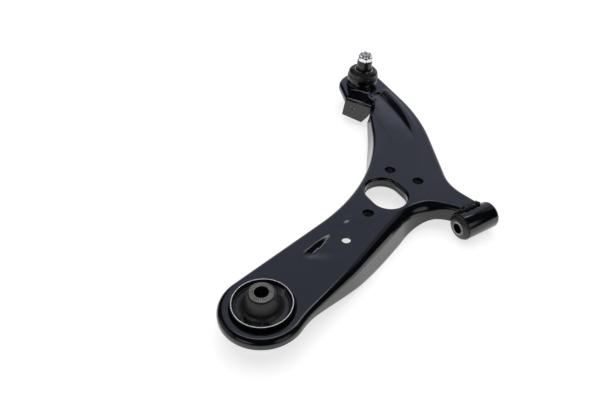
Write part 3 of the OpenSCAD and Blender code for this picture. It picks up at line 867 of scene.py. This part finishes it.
top_path = [(262.0, 11.0, -2.3), (267, 9.0, -1.9), (274, 10.0, -1.5), (283, 8.8, -1.7), (291.0, 10.6, -2.3)]
left_path = [(262.2, 9.5, -3.0), (261.6, 12.4, -7.5), (261.4, 14.4, -13), (261.2, 15.2, -19)]
right_path = [(291.6, 9.5, -3.0), (291.2, 12.6, -7.5), (290.8, 14.6, -13), (290.6, 15.3, -19)]
tube_beads = [
    bead("top_bead", top_path, 3.5, 0.3, 2.3, sides=24, seed=3, flat=0.48, lumps=0.3),
    bead("left_bead", left_path, 1.9, 0.2, 1.4, seed=4),
    bead("right_bead", right_path, 1.9, 0.2, 1.4, seed=5)]
finish_piece(join_meshes("tube_weld_beads", tube_beads), "arm", "black_paint", "tube_welds")

seams = []
for k, (x, y, dx, dy) in enumerate([(214, 123, 22, 22), (245, 156, 14, 22), (303, 107, -13, -28)]):
    path = [(x, y, -14.5), (x + dx / 2, y + dy / 2, -14.6), (x + dx, y + dy, -14.5)]
    seams.append(bead(f"seam_{k}", path, 1.5, seed=20 + k))
finish_piece(join_meshes("plate_seam_beads", seams), "arm", "black_paint", "plate_seam_welds")
bracket_path = [(287.4, 254.5, 2.0), (290.4, 249.8, 2.2), (293.4, 245.2, 2.0)]
finish_piece(bead("bracket_bead", bracket_path, 1.25, seed=31), "arm", "black_paint", "bracket_weld")


def ripple_disc(v):
    """Ripples on the top of a plug weld."""
    r = np.hypot(v[:, 0], v[:, 1])
    a = np.arctan2(v[:, 1], v[:, 0])
    v = v.copy()
    fine = 0.3 * np.sin(2.6 * r + 1.4 * np.sin(a * 2)) * eased((6.3 - r) / 1.2)
    v[:, 2] += (v[:, 2] > -3.4) * (fine + 0.14 * np.sin(a * 3 + r))
    return v


discs = []
disc_profile = [(0, -3.6), (6.45, -3.6), (6.45, -1.9), (6.1, -2.5), (4.9, -2.9), (3.6, -2.7), (2.4, -2.2),
                (1.2, -2.1), (0, -2.2)]
for k, p in enumerate(PLUGS):
    to = (rot_z(40 * k), np.array([*p, top_height(p[None])[0] * 0.6]))
    discs.append(lathe(f"plug_{k}", disc_profile, PLUG, r=0.2, n=48, to=to, degrees=50, wave=ripple_disc))
finish_piece(join_meshes("plug_weld_discs", discs), "arm", "black_paint", "plug_welds")

# ---------------------------------------------------------------- rear bush

RING_R, RING_TOP, RING_LOW = 31, 6.2, -24
ring_prof = [(RING_R, RING_LOW, 0.8), (RING_R, RING_TOP, 0.35), (30.1, RING_TOP, 0.2), (28.6, 4.2, 0.5),
             (28.6, RING_LOW, 0.8)]
rear_ring = lathe("rear_ring", ring_prof, BLACK, n=180)
rear_ring.data.materials.append(EDGE)
# The ring's top edge is bare metal
for poly in rear_ring.data.polygons:
    if poly.center.z > (RING_TOP - 0.28) * MM:
        poly.material_index = 1
finish_piece(rear_ring, "arm", "black_paint", "rear_bush_outer_ring")


def kidney_cutter(mid, z0, z1):
    """A kidney-shaped slot with knobbed ends, in the plane of the rear bush. Its points are (r, angle). Its
    near-black, dull rubber paints shade onto the void's walls.
    """
    half, rm, span, knob = 3.4, 24.5, 34, 6.2
    sweep = [span * (2 * k / 48 - 1) for k in range(49)]
    end = [math.pi * k / 12 for k in range(1, 12)]
    pts = [(rm + half + 0.15 * math.sin(a / 6), a) for a in sweep]
    pts += [(rm + half * math.cos(t), span + knob * math.sin(t)) for t in end]
    pts += [(rm - half + 1.3 * bell((abs(a) - 22) / 5.5), a) for a in sweep[::-1]]
    pts += [(rm - half * math.cos(t), -span - knob * math.sin(t)) for t in end]
    xy = [(r * math.cos(math.radians(a + mid)), r * math.sin(math.radians(a + mid))) for r, a in pts]
    n = len(xy)
    verts = [(x, y, z) for z in (z0, z1) for x, y in xy]
    faces = [tuple(range(n))[::-1], tuple(range(n, 2 * n))]
    faces += [(i, (i + 1) % n, n + (i + 1) % n, n + i) for i in range(n)]
    return mesh_object("kidney", verts, faces, VOID_SHADE)


SPLIT = -6.0
R_OUT, R_IN = 28.55, 12.13
top_rubber = [(R_IN, SPLIT, 0), (R_OUT, SPLIT, 0), (R_OUT, 2.6, 0.6), (27.4, 2.2, 0.8), (26.4, 0.4, 1.0),
              (21.8, 0.9, 2.0), (19.2, 3.6, 3.0), (16.8, 9.6, 6.0), (14.8, 16.0, 1.5), (14.3, 19.2, 0.9),
              (13.0, 20.0, 0.5), (R_IN, 20.0, 0.2)]
low_rubber = [(R_IN, SPLIT, 0), (R_IN, -28.0, 0.4), (14.6, -28.0, 0.9), (16.2, -22.5, 3.0),
              (20.0, -18.2, 2.0), (27.0, -17.2, 1.0), (R_OUT, -17.8, 0.4), (R_OUT, SPLIT, 0)]
for name, prof, voids, start, end in (
        ("rear_rubber_top", top_rubber, (-9, 12), (0, 0, 0.0025), (0, 0, 0.0135)),
        ("rear_rubber_low", low_rubber, (-34, -3), (0, 0, -0.0175), (0, 0, -0.026))):
    rub = lathe(name, prof, RUBBER, r=0.5, n=160)
    for mid in (-136, 44):
        # The cut walls keep the void's painted shade
        cut(rub, kidney_cutter(mid, *voids), degrees=30, keep=True)
    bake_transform(rub)
    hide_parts("rear_bush_rubber")


def paint_end_shade(obj, bore, to, z_ends, count):
    """Painted shade: the bore and the valleys between the teeth get a dark steel that stands in for the shade
    in them.
    """
    obj.data.materials.append(SHADE_STEEL)
    for poly in obj.data.polygons:
        p = (np.array(poly.center) / MM - to[1]) @ to[0]
        r, a = math.hypot(p[0], p[1]), math.atan2(p[1], p[0])
        valley = abs((a * count / math.pi) % 2 - 1) < 0.5
        at_end = min(abs(p[2] - z) for z in z_ends) < 0.9
        if r < bore + 0.35 or (valley and at_end and r > bore + 0.9):
            poly.material_index = 1


def serrate(z_top, z_low, depth, count):
    """Radial teeth on both end faces of a sleeve."""
    def wave(v):
        a = np.arctan2(v[:, 1], v[:, 0])
        v = v.copy()
        tooth = depth * (1 - np.abs((a * count / math.pi) % 2 - 1))
        v[:, 2] = np.where(v[:, 2] > z_top - 0.08, v[:, 2] - tooth, v[:, 2])
        v[:, 2] = np.where(v[:, 2] < z_low + 0.08, v[:, 2] + tooth, v[:, 2])
        return v
    return wave


def toothed_sleeve(name, r_in, r_out, ends, rounding, depth, count, n, to):
    """A steel sleeve with toothed ends. Rounding is that of its inner and its outer corners."""
    low, top = ends
    inner, outer = rounding
    profile = [(r_in, low, inner), (r_out, low, outer), (r_out, top, outer), (r_in, top, inner)]
    sleeve = lathe(name, profile, STEEL, n=n, to=to, wave=serrate(top, low, depth, count), degrees=18)
    # Painted shade in the bore and the tooth valleys
    paint_end_shade(sleeve, r_in, to, (top, low), count)
    return sleeve


HERE = (np.eye(3), np.zeros(3))
rear_sleeve = toothed_sleeve("rear_sleeve", 7.1, 12.1, (-36.5, 21.5), (0.7, 0.5), 0.75, 36, 288, HERE)
finish_piece(rear_sleeve, "rear_bush_core", "bare_steel", "rear_bush_inner_sleeve")

# ---------------------------------------------------------------- front bush

LEN = TUBE_X[1] - TUBE_X[0]
TUBE_BORE = 13.5
tube_prof = [(TUBE_BORE, 0, 0.5), (TUBE_R, 0, 0.7), (TUBE_R, LEN, 0.7), (TUBE_BORE, LEN, 0.5)]
front_tube = lathe("front_tube", tube_prof, BLACK, n=144, to=FRONT)
finish_piece(front_tube, "arm", "black_paint", "front_bush_tube")
rubber_end = [(8.76, -3.9, 0.3), (10.6, -4.4, 0.8), (12.6, -3.4, 1.0), (14.8, -2.0, 0.9), (15.0, -0.3, 0.3),
              (13.4, -0.25, 0), (13.4, 1, 0), (12.32, 1, 0)]
other_end = [(r, LEN - z, rounding) for r, z, rounding in rubber_end[::-1]]
front_rubber = lathe("front_rubber", rubber_end + other_end, RUBBER, n=128, to=FRONT)
finish_piece(front_rubber, "arm", "rubber", "front_bush_rubber")
front_sleeve = toothed_sleeve("front_sleeve", 6.2, 8.7, (-5, LEN + 5), (0.5, 0.4), 0.35, 30, 240, FRONT)
finish_piece(front_sleeve, "front_bush_core", "bare_steel", "front_bush_inner_sleeve")

# ---------------------------------------------------------------- ball joint

housing = lathe("joint_housing", [
    (15.5, -35, 0.3), (20, -35, 1.6), (20, -7.4, 0.2), (18.8, -7.4, 0.1), (18.8, -5.4, 0.1), (20, -5.4, 0.2),
    (20, 0, 0.0), (22.4, 0, 0.3), (22.4, 3, 0.8), (20.4, 4.6, 0.8), (19.4, 6.4, 0.8), (19.4, 15, 0.5),
    (17.8, 15, 0.5), (13.8, 0.2, 0.4), (15.5, -2, 0.4)], BLACK, n=144, to=BALL)
finish_piece(housing, "arm", "black_paint", "ball_joint_housing")

BOOT_SPLIT = 19.0
lower_boot = [(19.45, 10, 0.3), (21.5, 10, 0.5), (21.5, 10.8, 0.3), (20.9, 10.85, 0.2), (20.9, 14.15, 0.2),
              (21.5, 14.2, 0.3), (21.45, 15.4, 0.9), (20.6, 16.2, 1.2), (20.95, 17.6, 0),
              (20.75, BOOT_SPLIT, 0), (19.35, BOOT_SPLIT, 0), (19.4, 17.4, 0), (19.3, 15.3, 0.2),
              (19.45, 15.25, 0.1)]
upper_boot = [(20.75, BOOT_SPLIT, 0), (20.1, 20.6, 3.0), (18.2, 22.4, 4.0), (15.4, 23.7, 2.0),
              (13.5, 24.0, 0.4), (13.4, 22.2, 0.2), (11.3, 22.2, 0.2), (11.3, 24.0, 0.3), (8.05, 24.0, 0.2),
              (8.05, 20.2, 0.3), (11.3, 20.2, 0.6), (14.6, 22.0, 1.5), (17.0, 21.2, 2.0), (18.6, 20.0, 1.5),
              (19.35, BOOT_SPLIT, 0)]
axis = LEAN[:, 2]


def on_axis(z):
    return tuple((BALL[1] + axis * z) * MM)


def dense(profile, step):
    """A closed profile with extra points along its edges."""
    out = []
    n = len(profile)
    for i in range(n):
        a, b = profile[i], profile[(i + 1) % n]
        m = max(1, int(np.hypot(*(b - a)) / step))
        out += [a + (b - a) * k / m for k in range(m)]
    return out


for name, prof, pair, z in (("boot_barrel", lower_boot, ("arm", "boot"), (14.6, 19.0)),
                            ("boot_dome", upper_boot, ("boot", "boot_clip"), (19.0, 23.2))):
    o = lathe(name, dense(soften(prof, 0.4), 0.5), BOOT, r=0, n=128, to=BALL, degrees=44)
    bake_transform(o)
    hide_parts("dust_boot")

band_prof = [(21.0, 10.95, 0.15), (21.85, 10.95, 0.3), (21.85, 14.05, 0.3), (21.0, 14.05, 0.15)]
finish_piece(lathe("foot_band", band_prof, BAND, n=144, to=BALL), "arm", "zinc", "boot_lower_ring")
guard_prof = [(8.72, 24.15, 0.2), (10.9, 24.15, 0.6), (10.8, 30, 0), (10.75, 37.0, 0.9), (10.0, 37.4, 0.4),
              (8.72, 37.4, 0.4)]
finish_piece(lathe("taper_guard", guard_prof, SLEEVE, n=128, to=BALL), "stud", "black_plastic", "stud_sleeve")

THREAD_PITCH = 1.25


def thread(r_first, r_second, start, end):
    """Profile of a thread's ridges from start to past end, and where the next ridge would begin."""
    out, z = [], start
    while z < end:
        out += [(r_first, z), (r_second, z + 0.62)]
        z += THREAD_PITCH
    return out, z


# Stud: ball, waist, taper and a threaded end with a centre hole
BALL_R, BALL_Z, NUT_Z = 13.5, -8, 37.5
steps = [math.radians(a) for a in range(-84, 62, 6)]
ball = [(BALL_R * math.cos(a), BALL_Z + BALL_R * math.sin(a)) for a in steps]
shank = [(6.4, 3.0), (6.4, 15), (8.0, 18.5), (8.0, 23.9), (8.6, 24.05), (7.95, 36.4)]
stud_end = [(5.2, 47.3), (2.8, 47.45), (2.2, 45.2), (0, 44.4)]
stud_prof = [(0, -21.0)] + ball + shank + thread(6.0, 5.45, 36.6, 46.4)[0] + stud_end
stud = lathe("stud", stud_prof, STEEL, r=0, n=96, to=BALL, degrees=28)
finish_piece(stud, "stud", "bare_steel", "ball_stud")


def nut_slot(turn):
    """A cutter for one pair of the castle nut's slots, with a round bottom."""
    c, s = math.cos(turn), math.sin(turn)
    w, reach, bottom = 1.55, 14, 7.0
    prof = [(-w, 12), (w, 12)]
    prof += [(w * math.cos(t), bottom - w * math.sin(t)) for t in np.linspace(0, math.pi, 12)]
    n = len(prof)
    verts = [(y * c - x * s, x * c + y * s, z) for y in (-reach, reach) for x, z in prof]
    faces = [tuple(range(n)), tuple(range(n, 2 * n))[::-1]]
    faces += [(i, n + i, n + (i + 1) % n, (i + 1) % n) for i in range(n)]
    return mesh_object("nut_slot", verts, faces, ZINC)


def build_nut():
    """A castle nut: a chamfered hexagon with a slotted crown and a threaded bore."""
    flats, height = 19, 6.0
    rc = flats / 2 / math.cos(math.radians(30))
    corners = [math.radians(60 * k + 59) for k in range(6)]
    verts = [(rc * math.cos(a), rc * math.sin(a), z) for z in (0, height) for a in corners]
    faces = [(5, 4, 3, 2, 1, 0), (6, 7, 8, 9, 10, 11)]
    faces += [(k, (k + 1) % 6, 6 + (k + 1) % 6, 6 + k) for k in range(6)]
    body = mesh_object("nut", verts, faces, ZINC)
    chamfer = [(0, -1), (9.3, -1), (9.3, 0), (11.4, 1.5), (11.4, 4.4), (8.9, 6.4), (0, 6.4)]
    cut(body, lathe("nut_chamfer", chamfer, ZINC, r=0, n=96), "INTERSECT")
    crown = [(0, 5.0), (8.35, 5.0), (8.35, 8.9), (7.7, 9.5), (0, 9.5)]
    cut(body, lathe("nut_crown", crown, ZINC, r=0, n=96), "UNION")
    for k in range(3):
        cut(body, nut_slot(math.radians(60 * k + 29)))
    ridges, z = thread(6.08, 6.55, 1.0, 8.6)
    bore = [(0, -1), (6.9, -1), (6.9, 0), (6.08, 0.9)] + ridges
    bore += [(6.08, z), (6.9, 9.6), (6.9, 10.5), (0, 10.5)]
    cut(body, lathe("nut_bore", bore, ZINC, r=0, n=64), degrees=28)
    bev = body.modifiers.new("bevel", "BEVEL")
    bev.width = 0.00016
    bev.segments = 2
    bev.limit_method = "ANGLE"
    bev.angle_limit = math.radians(40)
    me = bpy.data.meshes.new_from_object(body.evaluated_get(bpy.context.evaluated_depsgraph_get()))
    body.modifiers.clear()
    body.data = me
    place_at = on_axis(NUT_Z)
    me.transform(Matrix([[*LEAN[k], place_at[k]] for k in range(3)] + [[0, 0, 0, 1]]))
    sharpen(body, 30)
    return body


finish_piece(build_nut(), "stud", "zinc", "castle_nut")

# ---------------------------------------------------------------- CAD nodes that stay

for node, mat in (("front_bush_outer_sleeve", STEEL), ("housing_snap_ring", ZINC), ("housing_cap", ZINC),
                  ("lower_ball_seat", POLYMER), ("upper_ball_seat", POLYMER), ("boot_upper_ring", ZINC)):
    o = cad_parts[node]
    o.data.materials.clear()
    o.data.materials.append(mat)

# ---------------------------------------------------------------- floor, light, camera

FLOOR_Z = float(cad_box[0][2]) - 0.0002
FLOOR_HALF = 4
me = bpy.data.meshes.new("floor")
square = [(-1, -1), (1, -1), (1, 1), (-1, 1)]
me.from_pydata([(x * FLOOR_HALF, y * FLOOR_HALF, FLOOR_Z) for x, y in square], [], [(0, 1, 2, 3)])
floor = bpy.data.objects.new("floor", me)
bpy.context.scene.collection.objects.link(floor)
floor_material, _, _, p = new_material("floor")
p.inputs["Base Color"].default_value = (0.5, 0.5, 0.5, 1)
p.inputs["Roughness"].default_value = 0.9
p.inputs["Specular IOR Level"].default_value = 0.1
p.inputs["Emission Color"].default_value = (0.71, 0.71, 0.715, 1)
p.inputs["Emission Strength"].default_value = 1.0
me.materials.append(floor_material)

world = bpy.data.worlds.new("studio")
bpy.context.scene.world = world
world.use_nodes = True
N, L = world.node_tree.nodes, world.node_tree.links
direction = N.new("ShaderNodeTexCoord").outputs["Generated"]


def along(vector):
    """Cosine between the world direction and a fixed one."""
    d = N.new("ShaderNodeVectorMath")
    d.operation = "DOT_PRODUCT"
    L.new(direction, d.inputs[0])
    d.inputs[1].default_value = Vector(vector).normalized()
    return d.outputs["Value"]


def mix(kind, a, b):
    m = N.new("ShaderNodeMix")
    m.data_type = "RGBA"
    m.blend_type = kind
    m.inputs[0].default_value = 1.0
    L.new(a, m.inputs[6])
    L.new(b, m.inputs[7])
    return m.outputs[2]


def math_node(kind, a, b):
    m = N.new("ShaderNodeMath")
    m.operation = kind
    for socket, value in zip(m.inputs, (a, b)):
        if isinstance(value, float):
            socket.default_value = value
        else:
            L.new(value, socket)
    return m.outputs["Value"]


def toward(azimuth, elevation):
    a, e = math.radians(azimuth), math.radians(elevation)
    return (math.cos(a) * math.cos(e), math.sin(a) * math.cos(e), math.sin(e))


# A tall pale screen behind the part, with a bright top edge; the room on the near side is dark
screen = ramp(N, L, along((0, 0, 1)), [
    (0.0, (0.55, 0.56, 0.60)), (0.25, (0.50, 0.52, 0.61)), (0.50, (0.44, 0.48, 0.64)),
    (0.815, (0.42, 0.45, 0.61)), (0.83, (1.5, 1.5, 1.6)), (0.84, (4.2, 4.2, 4.3)), (0.856, (4.2, 4.2, 4.3)),
    (0.872, (0.02, 0.02, 0.025)), (1.0, (0.008, 0.008, 0.01))])
azimuth = math_node("MULTIPLY", math_node("ARCTAN2", along((0, 1, 0)), along((1, 0, 0))), 1 / math.pi)
reach = ramp(N, L, azimuth, [(12 / 180, 0.0), (28 / 180, 1.0), (75 / 180, 1.0), (84 / 180, 0.03), (1.0, 0.0)])
mottle = noise(N, L, direction, 9.0, 3, 0.6, 0.3)
clouds = ramp(N, L, mottle, [(0.3, (0.84, 0.84, 0.82)), (0.7, (1.16, 1.15, 1.18))])
sky = mix("MULTIPLY", mix("MULTIPLY", screen, reach), clouds)
# Soft lamps round the room: direction, half angle of the core and of the whole, brightness
for at, wide, soft, level in ((toward(-163, 31), 12, 20, 0.75), (toward(-72, 31), 12, 20, 0.75),
                              (toward(10, 20), 8, 17, 0.9), (toward(4, 44), 4, 10, 0.3),
                              (toward(150, 22), 14, 26, 0.4)):
    inner, outer = math.cos(math.radians(wide)), math.cos(math.radians(soft))
    sky = mix("ADD", sky, ramp(N, L, along(at), [(outer, 0.0), (inner, level)]))
L.new(sky, N["Background"].inputs["Color"])
N["Background"].inputs["Strength"].default_value = 1.0

light = bpy.data.lights.new("overhead", "AREA")
light.shape = "RECTANGLE"
light.size, light.size_y = 2.2, 2.2
light.energy = 24
overhead = bpy.data.objects.new("overhead", light)
bpy.context.scene.collection.objects.link(overhead)
overhead.location = (0.15, 0.15, 1.6)
aim = Vector((0.15, 0.12, 0)) - Vector(overhead.location)
overhead.rotation_euler = aim.to_track_quat("-Z", "Y").to_euler()
overhead.visible_glossy = False

# The camera's place in millimetres, and the direction and roll of its view in degrees
CAMERA_AT = (-179.111, -373.477, 493.166)
VIEW_AZIMUTH, VIEW_ELEVATION, VIEW_ROLL = 59.262, -40.794, -0.075
forward = Vector(toward(VIEW_AZIMUTH, VIEW_ELEVATION))
level = forward.cross(Vector((0, 0, 1))).normalized()
roll = math.radians(VIEW_ROLL)
right = level * math.cos(roll) + level.cross(forward) * math.sin(roll)
up = right.cross(forward)
cam_data = bpy.data.cameras.new("camera")
cam = bpy.data.objects.new("camera", cam_data)
bpy.context.scene.collection.objects.link(cam)
cam_data.lens = 39.0
cam_data.sensor_width = 36.0
cam_data.clip_start = 0.01
cam.matrix_world = Matrix([
    [right[k], up[k], -forward[k], CAMERA_AT[k] * MM] for k in range(3)] + [[0, 0, 0, 1]])
bpy.context.scene.camera = cam
bpy.context.scene.view_settings.view_transform = "Standard"
